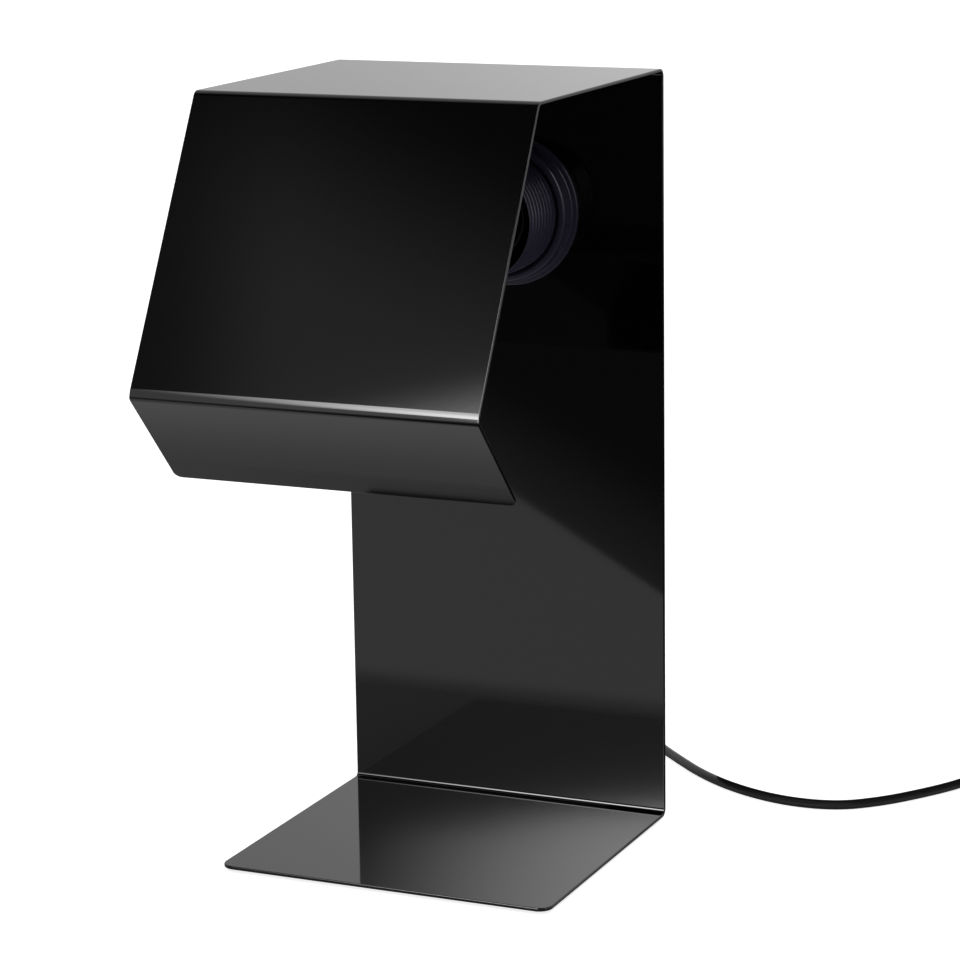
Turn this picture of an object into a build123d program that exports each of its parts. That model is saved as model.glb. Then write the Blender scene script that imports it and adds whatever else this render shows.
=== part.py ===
"""Tabletop lamp: one folded steel sheet on end, an E27 lampholder through its back, a flex with an inline switch.

Millimetres. X is the lamp's right, Y points out of its back, Z is up.
The origin is the middle of the base pad's underside, so the table is Z = 0.
"""

from math import cos, pi, radians, sin, tan
import os

from build123d import *

os.makedirs("parts", exist_ok=True)

# ---- driving dimensions -------------------------------------------------------------------------

# folded body, outer sizes over the steel
body_width = 114.5
body_height = 250.0
base_depth = 102.5
top_depth = 102.0
front_length = 99.0
front_slope = 28.5  # degrees from upright
lip_length = 40.5
lip_slope = 42.3  # degrees from upright, turning back under the head
sheet = 1.2
bend_inside = 1.5
base_corner = 4.5
lip_corner = 2.5
pad_thickness = 1.0
pad_inset = 4.0

# lampholder, E27: distances along its axis count forward from the back panel's rear face
holder_drop = 47.5  # axis below the top of the roof
holder_offset = 3.0  # axis to the right of the panel's middle
thread_diameter = 40.0
skirt_reach = 29.0
skirt_wall = 1.8
panel_gap = 0.3  # round the skirt in its panel hole
shoulder_diameter = 46.0
shoulder_thickness = 3.0
spigot_wall = 1.4
spigot_length = 8.0
ring_diameter = 50.2
ring_rim = 1.6
ring_length = 8.0
ring_shoulder = 46.4
ring_gap = 0.3
ring_round = 1.6
ring_chamfer = 1.0
ledge_width = 4.0
ledge_depth = 7.0  # from the mouth back to the ledge that covers the screw shell's rim
ledge_thickness = 1.6
fit_gap = 0.1  # between moulded pieces that slide together
insulator_floor = 6.0
insulator_rear = 5.0
floor_front = -2.5
shell_radius = 13.3  # inside the E27 screw shell
shell_metal = 0.45
shell_gap = 0.3
shell_lip = 1.7
shell_end = 1.5  # where the shell's full bore stops
shell_step = 1.0  # and how much narrower it is below that
shell_foot = 2.6
shell_tab = 5.0  # width of the one tab that the foot keeps, for its rivet
shell_rivet = 10.9  # above the axis
cap_wall = 2.2
cap_cylinder = 14.0
cap_dome = 13.0
neck_radius = 8.0
neck_length = 8.0
nipple_radius = 5.0
terminal_width = 8.4
terminal_height = 6.0
terminal_depth = 4.0
terminal_screw_side = 1.9  # screw to one side of the middle, wire to the other
terminal_wire_side = 2.2
screw_radius = 1.5
screw_head_radius = 2.2
screw_head = 1.6
screw_slot = 0.7
rivet_radius = 0.8
rivet_head_radius = 1.3
rivet_head = 0.5
tongue_root = 5.2  # below the axis
tongue_width = 5.0
tongue_metal = 0.6
tongue_reach = 7.5
tongue_lift = 14.0  # degrees off the insulator's floor at rest
tongue_tip = 2.5
foot_length = 3.6
moving_gap = 0.35

# flex and its strain relief
flex_diameter = 3.2
flex_gap = 0.1
core_diameter = 1.1
grip_flange = 15.0
grip_flange_thickness = 2.0
grip_length = 20.0
grip_root = 10.0
grip_tip = 5.8
grip_groove_count = 5
groove_width = 1.3
groove_depth = 0.9

# inline rocker switch
switch_length = 60.0
switch_width = 23.0
switch_height = 17.0
switch_nose = 5.0
switch_shoulder = 40.0
switch_split = 7.5
switch_wall = 1.8
switch_edge = 2.5
switch_centre_x = 190.0
switch_centre_y = 135.0
entry_gap = 0.9
rocker_radius = 11.0
rocker_width = 11.0
rocker_gap = 0.35
rocker_tilt = 10.0  # degrees to each side of level
rocker_pivot = 11.5  # above the table
rocker_dip = 5.9  # pivot up to the dip between the two finger faces
rocker_under = 2.5
trunnion_radius = 1.5
trunnion_length = 1.5
trunnion_gap = 0.05
cheek = 1.6
stem_radius = 1.6
stem_length = 5.9
stem_bore = 2.0
seesaw_length = 17.0
seesaw_width = 5.0
seesaw_metal = 0.6
seesaw_tilt = 5.0
seesaw_pivot = 4.7  # above the table
bracket_metal = 0.8
fulcrum_foot = 9.0
contact_reach = 7.0
contact_pad = 3.5
boss_radius = 2.6
boss_along = 16.0
boss_across = 6.6
case_screw = 1.25
case_screw_head = 2.1
case_screw_reach = 12.5
case_screw_sunk = 0.3

# coil of put-away flex
coil_radius = 19.2
coil_centre_x = 218.0
coil_centre_y = 75.0
coil_column_count = 3
coil_layer_count = 4
coil_pitch = 3.3

# Europlug
plug_centre_x = 197.4
plug_width = 35.3
plug_thickness = 13.7
plug_front_y = 5.0
plug_body_length = 16.0
plug_taper = 15.0
plug_neck = 12.0
plug_edge = 3.0
boot_length = 20.0
boot_root = 10.0
boot_tip = 5.8
boot_groove_count = 5
pin_radius = 2.0
pin_length = 19.0
pin_tip = 9.5
pin_spacing = 18.6
pin_shank = 1.4
pin_sleeve = 1.8
pin_root = 8.0

# where the flex runs, from the strain relief to the switch
flex_route = [
    (3, 107.3, 203.5),
    (3, 124, 203.5),
    (3.3, 138, 194.5),
    (4, 146, 179),
    (4.6, 149.5, 156),
    (5.2, 149.8, 119),
    (5.8, 148.6, 80),
    (7, 146, 45),
    (10.5, 140.5, 21),
    (17.3, 132.5, 6),
    (26.5, 123, 1.6),
    (39.5, 109.8, 1.6),
    (54, 95.8, 1.6),
    (71, 84.6, 1.6),
    (90, 78.2, 1.6),
    (108, 79.6, 1.6),
    (120.7, 90.2, 1.6),
    (130.5, 103.2, 1.6),
    (138.8, 116.3, 1.6),
    (147.5, 129.2, 3.4),
    (156.5, 134.3, 6.8),
    (166.5, 135, 7.5),
]
# from the switch round to the coil
coil_route = [
    (217, 135, 7.5),
    (229.2, 134.7, 6.9),
    (239.4, 127.8, 4.9),
    (243.5, 116.3, 2.7),
    (240.1, 104.9, 1.6),
    (230.4, 97.6, 1.6),
    (218.2, 97.4, 1.6),
]
# from the coil's top layer down to the plug
plug_route = [
    (197.4, 75.5, 10.2),
    (197.2, 67.5, 9.6),
    (197.3, 61, 7.4),
    (197.4, 55.2, 6.85),
]

# ---- what follows from them ---------------------------------------------------------------------

half_width = body_width / 2
back_y = base_depth / 2
steel_z = pad_thickness
head_top = steel_z + body_height
holder_z = head_top - holder_drop
flex_radius = flex_diameter / 2
skirt_outer = thread_diameter / 2
skirt_inner = skirt_outer - skirt_wall
ledge_front = skirt_reach - ledge_depth
ledge_back = ledge_front - ledge_thickness
insulator_outer = skirt_inner - fit_gap
insulator_inner = shell_radius + shell_metal + shell_gap
insulator_front = ledge_back - shell_metal
floor_back = floor_front - insulator_floor
insulator_back = floor_back - insulator_rear
cap_radius = shoulder_diameter / 2
neck_front = -shoulder_thickness - cap_cylinder - cap_dome
neck_back = neck_front - neck_length
grip_shoulder = neck_back - grip_flange_thickness
grip_end = grip_shoulder - grip_length

holder_centre = Vector(holder_offset, back_y, holder_z)
forward = Vector(0, -1, 0)
holder_axis = Axis(holder_centre, forward)
# along_holder: sketch x runs forward along the axis, sketch y is height above it
along_holder = Plane(origin=holder_centre, x_dir=forward, z_dir=(-1, 0, 0))
# face_on: sketch x and y as seen from the front, its normal runs forward
face_on = Plane(origin=holder_centre, x_dir=(1, 0, 0), z_dir=forward)


def at_holder(ahead, right, above):
    """A point given along the lampholder's axis, to its right and above it."""
    return holder_centre + forward * ahead + Vector(right, 0, above)


def finish(piece, name):
    """Label a piece and write it under its name."""
    piece.part.label = name
    export_step(piece.part, f"parts/{name}.step")


# ---- folded body --------------------------------------------------------------------------------

top_front_y = back_y - top_depth
crease_y = top_front_y - front_length * sin(radians(front_slope))
crease_z = head_top - front_length * cos(radians(front_slope))
lip_end_y = crease_y + lip_length * sin(radians(lip_slope))
lip_end_z = crease_z - lip_length * cos(radians(lip_slope))

with BuildPart() as body_sheet:
    with BuildSketch(Plane.YZ):
        with BuildLine():
            FilletPolyline(
                (-base_depth / 2, steel_z),
                (back_y, steel_z),
                (back_y, head_top),
                (top_front_y, head_top),
                (crease_y, crease_z),
                (lip_end_y, lip_end_z),
                radius=bend_inside + sheet,
            )
            offset(amount=sheet, side=Side.LEFT)
        make_face()
    extrude(amount=half_width, both=True)
    upright_edges = body_sheet.edges().filter_by(Axis.Z)
    fillet(upright_edges.group_by(Axis.Y)[0], base_corner)
    lip_normal = Axis((0, lip_end_y, lip_end_z), (0, cos(radians(lip_slope)), sin(radians(lip_slope))))
    lip_edges = body_sheet.edges().filter_by(lip_normal)
    fillet(lip_edges.sort_by(Axis.Z)[:2], lip_corner)
    with BuildSketch(face_on):
        Circle(skirt_outer + panel_gap)
    extrude(amount=sheet, mode=Mode.SUBTRACT)
finish(body_sheet, "body_sheet")

with BuildPart() as base_pad:
    with BuildSketch():
        RectangleRounded(body_width - 2 * pad_inset, base_depth - 2 * pad_inset, base_corner)
    extrude(amount=pad_thickness)
finish(base_pad, "base_pad")

# ---- lampholder: moulded pieces turned about its axis -------------------------------------------

with BuildPart() as holder_skirt:
    with BuildSketch(along_holder):
        with BuildLine():
            Polyline(
                (skirt_reach, skirt_inner),
                (skirt_reach, skirt_outer),
                (0, skirt_outer),
                (0, cap_radius),
                (-shoulder_thickness, cap_radius),
                (-shoulder_thickness, skirt_inner + spigot_wall),
                (-shoulder_thickness - spigot_length, skirt_inner + spigot_wall),
                (-shoulder_thickness - spigot_length, skirt_inner),
                (ledge_back, skirt_inner),
                (ledge_back, skirt_inner - ledge_width),
                (ledge_front, skirt_inner - ledge_width),
                (ledge_front, skirt_inner),
                close=True,
            )
        make_face()
    revolve(axis=holder_axis)
finish(holder_skirt, "holder_skirt")

with BuildPart() as shade_ring:
    ring_back = sheet
    ring_inner = skirt_outer + ring_gap
    with BuildSketch(along_holder):
        with BuildLine():
            Polyline(
                (ring_back, ring_inner),
                (ring_back, ring_diameter / 2),
                (ring_back + ring_rim, ring_diameter / 2),
                (ring_back + ring_rim, ring_shoulder / 2),
                (ring_back + ring_length, ring_shoulder / 2),
                (ring_back + ring_length, ring_inner),
                close=True,
            )
        make_face()
    revolve(axis=holder_axis)
    front_rim = shade_ring.edges().filter_by(GeomType.CIRCLE).group_by(Axis.Y)[0].sort_by(SortBy.RADIUS)
    fillet(front_rim[-1], ring_round)
    chamfer(front_rim[0], ring_chamfer)
finish(shade_ring, "shade_ring")

foot_front = -tongue_root - moving_gap
foot_rivet = foot_front - foot_length / 2
with BuildPart() as socket_insulator:
    with BuildSketch(along_holder):
        with BuildLine():
            Polyline(
                (insulator_front, insulator_inner),
                (insulator_front, insulator_outer),
                (insulator_back, insulator_outer),
                (insulator_back, insulator_outer - spigot_wall),
                (floor_back, insulator_outer - spigot_wall),
                (floor_back, 0),
                (floor_front, 0),
                (floor_front, insulator_inner),
                close=True,
            )
        make_face()
    revolve(axis=holder_axis)
    with BuildSketch(face_on.offset(floor_back)):
        with Locations((0, shell_rivet), (0, foot_rivet)):
            Circle(rivet_radius)
    extrude(amount=insulator_floor, mode=Mode.SUBTRACT)
finish(socket_insulator, "socket_insulator")

with BuildPart() as screw_shell:
    shell_outer = shell_radius + shell_metal
    cup_radius = shell_radius - shell_step
    with BuildSketch(along_holder):
        with BuildLine():
            Polyline(
                (ledge_back, shell_radius),
                (ledge_back, shell_outer + shell_lip),
                (insulator_front, shell_outer + shell_lip),
                (insulator_front, shell_outer),
                (shell_end - shell_metal, shell_outer),
                (shell_end - shell_metal, cup_radius + shell_metal),
                (floor_front, cup_radius + shell_metal),
                (floor_front, cup_radius - shell_foot),
                (floor_front + shell_metal, cup_radius - shell_foot),
                (floor_front + shell_metal, cup_radius),
                (shell_end, cup_radius),
                (shell_end, shell_radius),
                close=True,
            )
        make_face()
    revolve(axis=holder_axis)
    with BuildSketch(face_on.offset(floor_front)):
        Circle(cup_radius)
        with Locations((0, cup_radius)):
            Rectangle(shell_tab, 2 * shell_foot, mode=Mode.SUBTRACT)
        with Locations((0, shell_rivet)):
            Circle(rivet_radius)
    extrude(amount=shell_metal, mode=Mode.SUBTRACT)
finish(screw_shell, "screw_shell")

with BuildPart() as holder_cap:
    cap_front = -shoulder_thickness
    cap_inner = skirt_inner + spigot_wall + fit_gap
    dome_start = cap_front - cap_cylinder
    dome_inner = cap_dome - cap_wall
    with BuildSketch(along_holder):
        with BuildLine():
            Polyline(
                (neck_back, nipple_radius),
                (neck_back, neck_radius),
                (neck_front, neck_radius),
                (neck_front, cap_radius - cap_dome),
            )
            CenterArc((dome_start, cap_radius - cap_dome), cap_dome, 90, 90)
            Polyline((dome_start, cap_radius), (cap_front, cap_radius), (cap_front, cap_inner))
            Line((cap_front, cap_inner), (dome_start, cap_inner))
            CenterArc((dome_start, cap_inner - dome_inner), dome_inner, 90, 90)
            Polyline(
                (dome_start - dome_inner, cap_inner - dome_inner),
                (dome_start - dome_inner, nipple_radius),
                (neck_back, nipple_radius),
            )
        make_face()
    revolve(axis=holder_axis)
    with BuildSketch(Plane(at_holder((neck_front + neck_back) / 2, 0, 0))):
        Circle(screw_radius)
    extrude(amount=neck_radius, mode=Mode.SUBTRACT)
finish(holder_cap, "holder_cap")

with BuildPart() as lock_screw:
    with BuildSketch(Plane(at_holder((neck_front + neck_back) / 2, 0, nipple_radius))):
        Circle(screw_radius)
    extrude(amount=neck_radius - nipple_radius)
    with BuildSketch(Plane(at_holder((neck_front + neck_back) / 2, 0, neck_radius))):
        Rectangle(2 * screw_radius, screw_slot)
    extrude(amount=-screw_slot, mode=Mode.SUBTRACT)
finish(lock_screw, "lock_screw")

# ---- lampholder: contacts -----------------------------------------------------------------------

terminal_back = floor_back - terminal_depth
terminal_heights = (shell_rivet, foot_rivet)

with BuildPart() as terminal_blocks:
    for height in terminal_heights:
        with BuildSketch(face_on.offset(terminal_back)):
            with Locations((0, height)):
                Rectangle(terminal_width, terminal_height)
            with Locations((-terminal_screw_side, height)):
                Circle(screw_radius, mode=Mode.SUBTRACT)
        extrude(amount=terminal_depth)
finish(terminal_blocks, "terminal_blocks")

with BuildPart() as terminal_screws:
    for height in terminal_heights:
        with BuildSketch(face_on.offset(terminal_back)):
            with Locations((-terminal_screw_side, height)):
                Circle(screw_radius)
        extrude(amount=terminal_depth)
        with BuildSketch(face_on.offset(terminal_back)):
            with Locations((-terminal_screw_side, height)):
                Circle(screw_head_radius)
        extrude(amount=-screw_head)
        with BuildSketch(face_on.offset(terminal_back - screw_head)):
            with Locations((-terminal_screw_side, height)):
                Rectangle(2 * screw_head_radius, screw_slot)
        extrude(amount=screw_slot, mode=Mode.SUBTRACT)
finish(terminal_screws, "terminal_screws")

with BuildPart() as contact_rivets:
    for height, metal in ((shell_rivet, shell_metal), (foot_rivet, tongue_metal)):
        with BuildSketch(face_on.offset(floor_back)):
            with Locations((0, height)):
                Circle(rivet_radius)
        extrude(amount=insulator_floor + metal)
        with BuildSketch(face_on.offset(floor_front + metal)):
            with Locations((0, height)):
                Circle(rivet_head_radius)
        extrude(amount=rivet_head)
finish(contact_rivets, "contact_rivets")

with BuildPart() as contact_foot:
    with BuildSketch(face_on.offset(floor_front)):
        with Locations((0, foot_rivet)):
            Rectangle(tongue_width, foot_length)
            Circle(rivet_radius, mode=Mode.SUBTRACT)
    extrude(amount=tongue_metal)
finish(contact_foot, "contact_foot")

lift = radians(tongue_lift)
tongue_start = (floor_front + moving_gap, -tongue_root)
tongue_knee = (
    tongue_start[0] + tongue_reach * sin(lift),
    tongue_start[1] + tongue_reach * cos(lift),
)
with BuildPart() as centre_contact:
    with BuildSketch(along_holder):
        with BuildLine():
            FilletPolyline(
                tongue_start,
                tongue_knee,
                (tongue_knee[0] - tongue_tip * sin(lift), tongue_knee[1] + tongue_tip * cos(lift)),
                radius=tongue_tip,
            )
            offset(amount=tongue_metal, side=Side.RIGHT)
        make_face()
    extrude(amount=tongue_width / 2, both=True)
finish(centre_contact, "centre_contact")

# ---- strain relief and the ends of the flex inside the lampholder -------------------------------


def ribbed_taper(plane, start, length, root, tip, grooves):
    """Half the section of a tapering sleeve with open grooves, as a flexible strain relief has."""
    with BuildSketch(plane) as section:
        with BuildLine():
            Polyline(
                (start, 0),
                (start, root / 2),
                (start - length, tip / 2),
                (start - length, 0),
                close=True,
            )
        make_face()
        pitch = length / (grooves + 1)
        for number in range(1, grooves + 1):
            surface = root / 2 + (tip - root) / 2 * number / (grooves + 1)
            with Locations((start - pitch * number, surface)):
                Rectangle(groove_width, 2 * groove_depth, mode=Mode.SUBTRACT)
    return section.sketch


with BuildPart() as cord_grip:
    taper = ribbed_taper(along_holder, grip_shoulder, grip_length, grip_root, grip_tip, grip_groove_count)
    revolve(taper, axis=holder_axis)
    with BuildSketch(face_on.offset(grip_shoulder)):
        Circle(grip_flange / 2)
    extrude(amount=grip_flange_thickness)
    with BuildSketch(face_on.offset(neck_back)):
        Circle(nipple_radius - fit_gap / 2)
    extrude(amount=neck_length)
    with BuildSketch(face_on.offset(grip_end)):
        Circle(flex_radius + flex_gap)
    extrude(amount=neck_front - grip_end, mode=Mode.SUBTRACT)
finish(cord_grip, "cord_grip")

flex_start = Vector(flex_route[0])
with BuildPart() as flex_in_grip:
    with BuildSketch(Plane(flex_start, z_dir=forward)):
        Circle(flex_radius)
    extrude(amount=flex_start.Y - at_holder(neck_front, 0, 0).Y)
finish(flex_in_grip, "flex_in_grip")

with BuildPart() as core_wires:
    for height in terminal_heights:
        side = core_diameter / 2 + flex_gap if height > 0 else -core_diameter / 2 - flex_gap
        with BuildLine():
            core_path = FilletPolyline(
                at_holder(neck_front, 0, side),
                at_holder(neck_front + cap_wall, 0, side),
                at_holder(terminal_back - cap_wall, terminal_wire_side, height),
                at_holder(terminal_back, terminal_wire_side, height),
                radius=core_diameter,
            )
        with BuildSketch(Plane(core_path @ 0, z_dir=core_path % 0)):
            Circle(core_diameter / 2)
        sweep(path=core_path)
finish(core_wires, "core_wires")

# ---- flex: straight runs joined by tangent arcs -------------------------------------------------


def corner_radii(points):
    """The largest arc that each corner's two runs allow."""
    radii = []
    for before, corner, after in zip(points, points[1:], points[2:]):
        arriving, leaving = Vector(corner) - Vector(before), Vector(after) - Vector(corner)
        half_turn = radians(arriving.get_angle(leaving) / 2)
        radii.append(0.45 * min(arriving.length, leaving.length) / tan(half_turn))
    return radii


def flex_tube(name, points):
    """A tube of flex along the route, written under its name."""
    radii = corner_radii(points)
    with BuildPart() as tube:
        with BuildLine():
            path = FilletPolyline(*points, radius=radii)
        with BuildSketch(Plane(path @ 0, z_dir=path % 0)):
            Circle(flex_radius)
        sweep(path=path)
    finish(tube, name)
    ideal = path.length * pi * flex_radius**2
    print(
        f"{name}: {path.length:.1f} mm, tightest arc {min(radii):.1f} mm,"
        f" volume {tube.part.volume / ideal:.4f} of section by length"
    )
    return path.length


flex_lengths = [
    flex_tube("flex_to_switch", flex_route),
    flex_tube("flex_to_coil", coil_route),
    flex_tube("flex_to_plug", plug_route),
]

coil_section = (coil_column_count - 1) * coil_pitch + flex_diameter
coil_height = (coil_layer_count - 1) * coil_pitch * sin(radians(60)) + flex_diameter
with BuildPart() as flex_coil:
    with BuildSketch(Plane((coil_centre_x, coil_centre_y, 0), x_dir=(1, 0, 0), z_dir=(0, -1, 0))) as coil_ring:
        with Locations((coil_radius, coil_height / 2)):
            Rectangle(coil_section, coil_height)
        chamfer(coil_ring.vertices(), flex_radius / 2)
    revolve(axis=Axis((coil_centre_x, coil_centre_y, 0), (0, 0, 1)))
finish(flex_coil, "flex_coil")
# columns alternate 3, 2, 3, 2 as the layers nest
coil_turns = coil_layer_count // 2 * (2 * coil_column_count - 1)
coil_length = coil_turns * 2 * pi * coil_radius
print(f"flex in all: {sum(flex_lengths) + coil_length + switch_length:.0f} mm with the switch")

# ---- inline switch ------------------------------------------------------------------------------

switch_floor = Plane((switch_centre_x, switch_centre_y, 0))
switch_side = Plane(
    (switch_centre_x, switch_centre_y, 0), x_dir=(1, 0, 0), z_dir=(0, -1, 0)
)
switch_end = Plane((switch_centre_x, switch_centre_y, switch_split), x_dir=(0, 1, 0), z_dir=(1, 0, 0))
boss_places = [(-boss_along, boss_across), (boss_along, -boss_across)]


def switch_outline(inset):
    """The switch seen from above: broad in the middle, drawn in to a nose at each flex."""
    Rectangle(switch_shoulder - 2 * inset, switch_width - 2 * inset)
    nose = switch_nose - inset
    with Locations((switch_length / 2 - switch_nose, 0), (switch_nose - switch_length / 2, 0)):
        Circle(nose)
    make_hull()


# round entries for the flex at both noses, half in the base and half in the cover
with BuildSketch(switch_end.offset(-switch_length / 2)) as flex_entries:
    Circle(flex_radius + entry_gap)

with BuildPart() as switch_base:
    with BuildSketch(switch_floor):
        switch_outline(0)
    extrude(amount=switch_split)
    fillet(switch_base.faces().sort_by(Axis.Z)[0].edges(), switch_wall / 2)
    with BuildSketch(switch_floor.offset(switch_wall)):
        switch_outline(switch_wall)
    extrude(amount=switch_split - switch_wall, mode=Mode.SUBTRACT)
    with BuildSketch(switch_floor.offset(switch_wall)):
        with Locations(*boss_places):
            Circle(boss_radius)
    extrude(amount=switch_split - switch_wall)
    extrude(flex_entries.sketch, amount=switch_length, mode=Mode.SUBTRACT)
    with Locations(switch_floor):
        with Locations(*boss_places):
            with Locations(Rotation(180, 0, 0)):
                CounterSinkHole(case_screw, case_screw_head, switch_split)
finish(switch_base, "switch_base")

with BuildPart() as switch_cover:
    with BuildSketch(switch_floor.offset(switch_split)):
        switch_outline(0)
    extrude(amount=switch_height - switch_split)
    fillet(switch_cover.faces().sort_by(Axis.Z)[-1].edges(), switch_edge)
    with BuildSketch(switch_floor.offset(switch_split)):
        switch_outline(switch_wall)
    extrude(amount=switch_height - switch_wall - switch_split, mode=Mode.SUBTRACT)
    with BuildSketch(switch_floor.offset(switch_split)):
        with Locations(*boss_places):
            Circle(boss_radius)
            Circle(case_screw, mode=Mode.SUBTRACT)
    extrude(amount=switch_height - switch_wall - switch_split)
    cheek_middle = rocker_width / 2 + rocker_gap + cheek / 2
    cheek_foot = rocker_pivot - trunnion_radius - cheek
    with BuildSketch(switch_floor.offset(cheek_foot)):
        with Locations((0, cheek_middle), (0, -cheek_middle)):
            Rectangle(2 * rocker_radius, cheek)
    extrude(amount=switch_height - switch_wall - cheek_foot)
    with BuildSketch(switch_side):
        with Locations((0, rocker_pivot)):
            Circle(rocker_radius + rocker_gap)
    extrude(amount=rocker_width / 2 + rocker_gap, both=True, mode=Mode.SUBTRACT)
    with BuildSketch(switch_side):
        with Locations((0, rocker_pivot)):
            Circle(trunnion_radius + trunnion_gap)
    extrude(amount=rocker_width / 2 + rocker_gap + cheek, both=True, mode=Mode.SUBTRACT)
    extrude(flex_entries.sketch, amount=switch_length, mode=Mode.SUBTRACT)
finish(switch_cover, "switch_cover")

tilt = radians(rocker_tilt)
rocker_side = Plane(
    (switch_centre_x, switch_centre_y, rocker_pivot),
    x_dir=(cos(tilt), 0, sin(tilt)),
    z_dir=(0, -1, 0),
)
with BuildPart() as switch_rocker:
    with BuildSketch(rocker_side):
        Circle(rocker_radius)
        with BuildLine():
            Polyline(
                (-rocker_radius, -rocker_under),
                (rocker_radius, -rocker_under),
                (rocker_radius, rocker_dip + rocker_radius * tan(tilt)),
                (0, rocker_dip),
                (-rocker_radius, rocker_dip + rocker_radius * tan(tilt)),
                close=True,
            )
        make_face(mode=Mode.INTERSECT)
    extrude(amount=rocker_width / 2, both=True)
    with BuildSketch(rocker_side):
        Circle(trunnion_radius)
    extrude(amount=rocker_width / 2 + trunnion_length, both=True)
    with BuildSketch(Plane(rocker_side.origin, z_dir=rocker_side.y_dir).offset(-rocker_under)):
        Circle(stem_radius + fit_gap / 2)
    extrude(amount=stem_bore, mode=Mode.SUBTRACT)
finish(switch_rocker, "switch_rocker")

with BuildPart() as rocker_plunger:
    with BuildSketch(rocker_side):
        with BuildLine():
            Polyline(
                (0, stem_radius - stem_length),
                (stem_radius, stem_radius - stem_length),
                (stem_radius, stem_bore - rocker_under),
                (0, stem_bore - rocker_under),
                close=True,
            )
        make_face()
        with Locations((0, stem_radius - stem_length)):
            Circle(stem_radius)
        with Locations((-stem_radius, -rocker_radius / 2)):
            Rectangle(2 * stem_radius, rocker_radius, mode=Mode.SUBTRACT)
    revolve(axis=Axis(rocker_side.origin, rocker_side.y_dir))
finish(rocker_plunger, "rocker_plunger")

sway = radians(seesaw_tilt)
seesaw_side = Plane(
    (switch_centre_x, switch_centre_y, seesaw_pivot),
    x_dir=(cos(sway), 0, -sin(sway)),
    z_dir=(0, -1, 0),
)
with BuildPart() as contact_seesaw:
    with BuildSketch(seesaw_side):
        with Locations((0, seesaw_metal / 2)):
            Rectangle(seesaw_length, seesaw_metal)
    extrude(amount=seesaw_width / 2, both=True)
finish(contact_seesaw, "contact_seesaw")

with BuildPart() as fulcrum_bracket:
    with BuildSketch(switch_side):
        with BuildLine():
            Polyline(
                (-fulcrum_foot / 2, switch_wall),
                (fulcrum_foot / 2, switch_wall),
                (fulcrum_foot / 2, switch_wall + bracket_metal),
                (bracket_metal, switch_wall + bracket_metal),
                (bracket_metal / 2, seesaw_pivot - moving_gap),
                (-bracket_metal / 2, seesaw_pivot - moving_gap),
                (-bracket_metal, switch_wall + bracket_metal),
                (-fulcrum_foot / 2, switch_wall + bracket_metal),
                close=True,
            )
        make_face()
    extrude(amount=seesaw_width / 2, both=True)
finish(fulcrum_bracket, "fulcrum_bracket")

with BuildPart() as fixed_contact:
    contact_top = seesaw_pivot - contact_reach * sin(sway) - moving_gap - bracket_metal
    with BuildSketch(switch_side):
        with BuildLine():
            FilletPolyline(
                (-contact_reach - 2 * contact_pad, switch_wall),
                (-contact_reach - contact_pad, switch_wall),
                (-contact_reach - contact_pad / 2, contact_top),
                (-contact_reach + contact_pad / 2, contact_top),
                radius=bracket_metal / 4,
            )
            offset(amount=bracket_metal, side=Side.LEFT)
        make_face()
    extrude(amount=seesaw_width / 2, both=True)
finish(fixed_contact, "fixed_contact")

with BuildPart() as case_screws:
    for along, across in boss_places:
        screw_line = Plane(
            (switch_centre_x + along, switch_centre_y + across, 0), x_dir=(1, 0, 0), z_dir=(0, -1, 0)
        )
        with BuildSketch(screw_line):
            with BuildLine():
                Polyline(
                    (0, case_screw_sunk),
                    (case_screw_head - case_screw_sunk, case_screw_sunk),
                    (case_screw, case_screw_head - case_screw),
                    (case_screw, case_screw_reach),
                    (0, case_screw_reach + case_screw),
                    close=True,
                )
            make_face()
        revolve(axis=Axis(screw_line.origin, (0, 0, 1)))
        with BuildSketch(Plane(screw_line.origin + Vector(0, 0, case_screw_sunk))):
            Rectangle(2 * case_screw, screw_slot / 2)
        extrude(amount=screw_slot, mode=Mode.SUBTRACT)
finish(case_screws, "case_screws")

# ---- plug ---------------------------------------------------------------------------------------

plug_shoulder_y = plug_front_y + plug_body_length
plug_neck_y = plug_shoulder_y + plug_taper
boot_end_y = plug_neck_y + boot_length
plug_middle = plug_thickness / 2
plug_face = Plane((plug_centre_x, plug_front_y, plug_middle), x_dir=(1, 0, 0), z_dir=forward)
plug_along = Plane((plug_centre_x, boot_end_y, plug_middle), x_dir=(0, 1, 0), z_dir=(1, 0, 0))
plug_axis = Axis(plug_along.origin, (0, 1, 0))
pin_places = [(-pin_spacing / 2, 0), (pin_spacing / 2, 0)]

with BuildPart() as plug_body:
    with BuildSketch():
        with BuildLine():
            Polyline(
                (plug_centre_x - plug_width / 2, plug_front_y),
                (plug_centre_x + plug_width / 2, plug_front_y),
                (plug_centre_x + plug_width / 2, plug_shoulder_y),
                (plug_centre_x + plug_neck / 2, plug_neck_y),
                (plug_centre_x - plug_neck / 2, plug_neck_y),
                (plug_centre_x - plug_width / 2, plug_shoulder_y),
                close=True,
            )
        make_face()
    extrude(amount=plug_thickness)
    fillet(plug_body.edges().filter_by(Axis.Z).group_by(Axis.Y)[1], plug_edge)
    level_edges = plug_body.faces().filter_by(Axis.Z).edges()
    fillet(level_edges, plug_edge / 2)
    boot = ribbed_taper(plug_along, -boot_length, -boot_length, boot_root, boot_tip, boot_groove_count)
    revolve(boot, axis=plug_axis)
    with BuildSketch(plug_face.offset(plug_front_y - boot_end_y)):
        Circle(flex_radius + flex_gap)
    extrude(amount=boot_length / boot_groove_count, mode=Mode.SUBTRACT)
    with BuildSketch(plug_face.offset(-pin_root)):
        with Locations(*pin_places):
            Circle(pin_shank)
    extrude(amount=pin_root, mode=Mode.SUBTRACT)
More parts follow.
